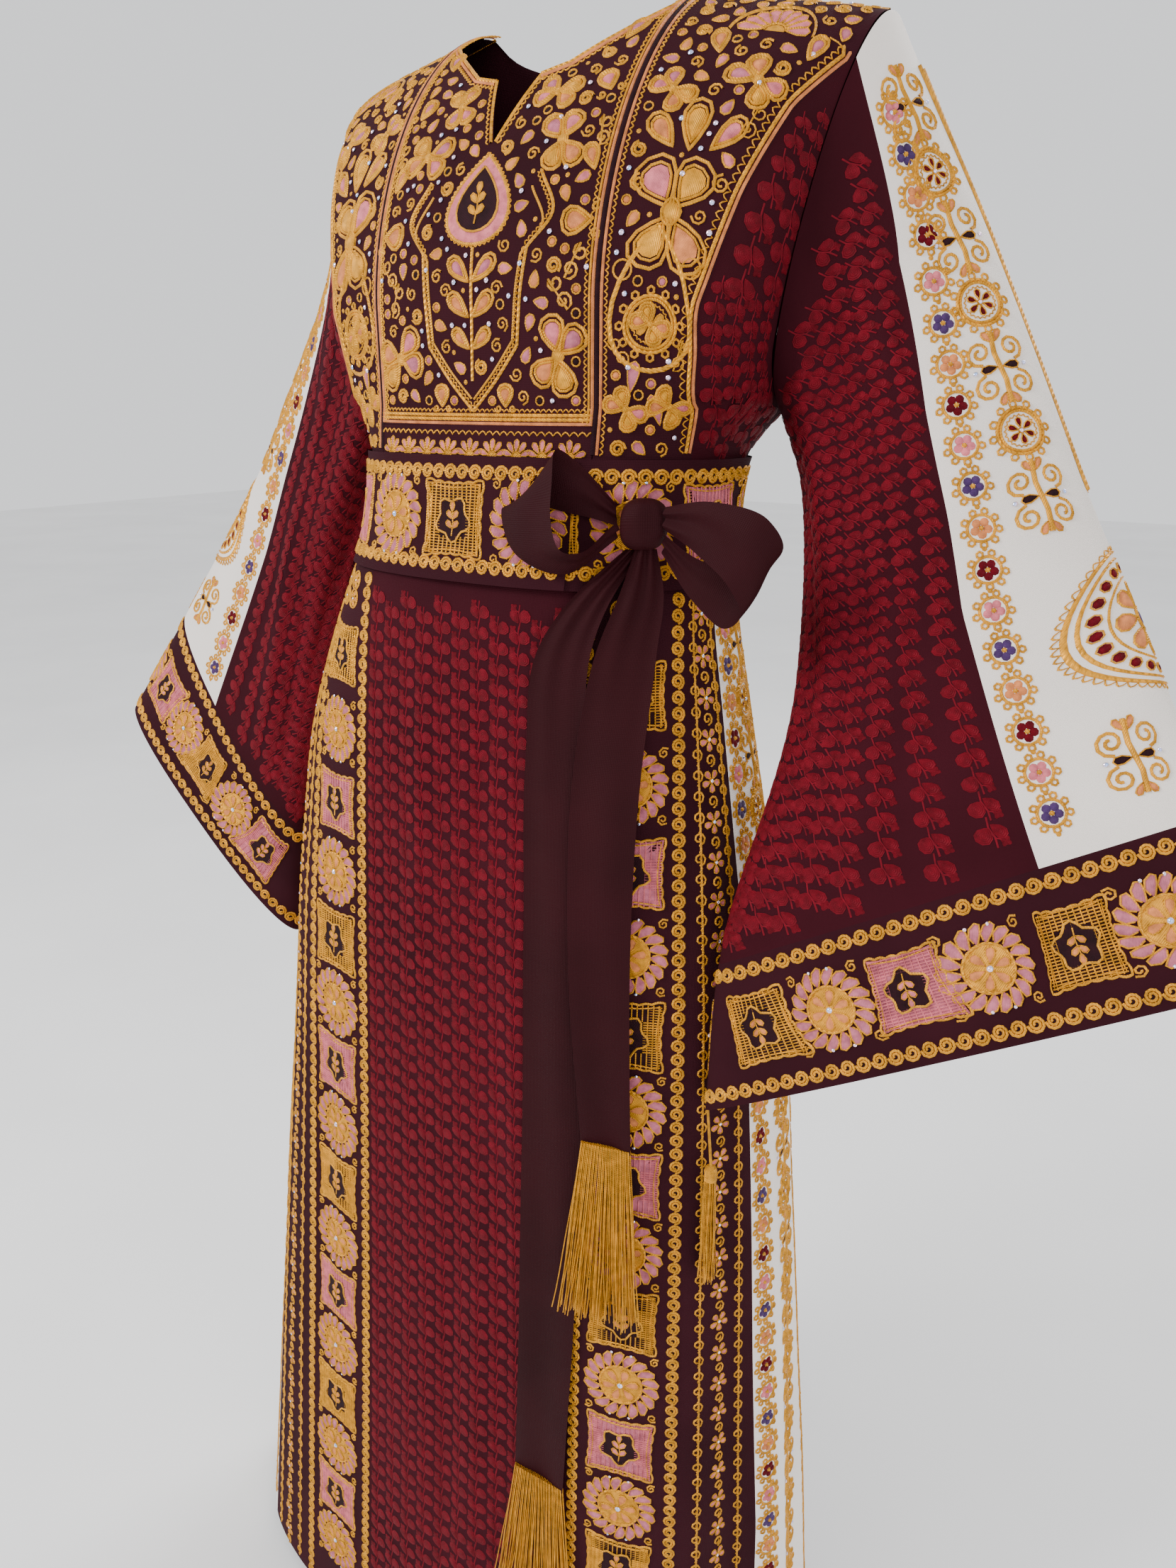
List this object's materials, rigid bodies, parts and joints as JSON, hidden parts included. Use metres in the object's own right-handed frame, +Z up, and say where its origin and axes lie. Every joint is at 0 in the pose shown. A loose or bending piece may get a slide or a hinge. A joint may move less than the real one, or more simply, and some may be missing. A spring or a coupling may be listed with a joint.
{
  "type": "embroidered thobe dress",
  "caption": "Long embroidered dress with a slit round neck, wide bell sleeves with cuffs, a panelled flared skirt, a wrapped belt, a ribbon bow with fringed tails and a sleeve tassel.",
  "frame": {"origin": "at the shoulders, on the middle plane of the neck, 18 mm above the neck points", "axes": "+Z up to the neck opening, the front faces -Y, the wearer's left is +X"},
  "size_m": [1.0524, 0.3341, 1.4822],
  "materials": {
    "plum_cloth": "plum crepe with gold cord embroidery",
    "red_cloth": "crimson chain stitch over plum crepe",
    "white_cloth": "ivory satin with gold cord embroidery",
    "ribbon_cloth": "plain plum satin ribbon",
    "gold_thread": "shiny gold thread"
  },
  "bodies": {
    "root": {"chest_panel": "plum_cloth", "waist_strip": "plum_cloth", "shoulder_band_left": "plum_cloth", "shoulder_band_right": "plum_cloth", "back_bodice": "plum_cloth", "cuff_left": "plum_cloth", "cuff_right": "plum_cloth", "skirt_band_left": "plum_cloth", "skirt_band_right": "plum_cloth", "skirt_side_left": "plum_cloth", "skirt_side_right": "plum_cloth", "skirt_back": "plum_cloth", "belt": "plum_cloth", "side_front_left": "red_cloth", "side_front_right": "red_cloth", "side_back_left": "red_cloth", "side_back_right": "red_cloth", "sleeve_front_left": "red_cloth", "sleeve_front_right": "red_cloth", "sleeve_back_left": "red_cloth", "sleeve_back_right": "red_cloth", "skirt_centre": "red_cloth", "sleeve_top_left": "white_cloth", "sleeve_top_right": "white_cloth", "skirt_white_left": "white_cloth", "skirt_white_right": "white_cloth", "bow_knot": "ribbon_cloth", "bow_loop_left": "ribbon_cloth", "bow_loop_right": "ribbon_cloth", "tail_long": "ribbon_cloth", "tail_short": "ribbon_cloth", "fringe_long": "gold_thread", "fringe_short": "gold_thread", "sleeve_tassel": "gold_thread"}
  },
  "joints": []
}
